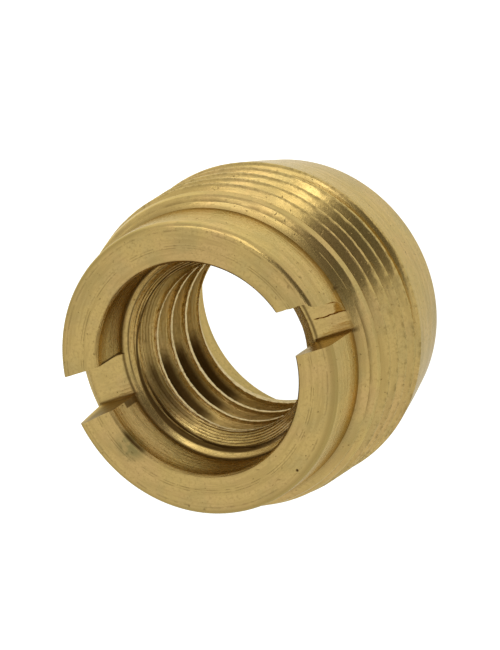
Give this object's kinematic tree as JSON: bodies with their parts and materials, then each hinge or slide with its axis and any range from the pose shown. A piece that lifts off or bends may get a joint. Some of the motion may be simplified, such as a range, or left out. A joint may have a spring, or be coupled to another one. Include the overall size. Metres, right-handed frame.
{
  "type": "male-female threaded connector",
  "caption": "Turned brass thread adapter: fine male thread outside, coarse female thread inside, screwdriver slot across the counterbored end, plain tapered collar.",
  "frame": {"origin": "centre of the flat collar end, on the thread axis", "axes": "+Z along the thread axis from the collar end to the slotted end; +X along the screwdriver slot"},
  "size_m": [0.0158, 0.0158, 0.012],
  "materials": {
    "brass": "turned, slightly tarnished"
  },
  "bodies": {
    "root": {"thread_adapter": "brass"}
  },
  "joints": []
}
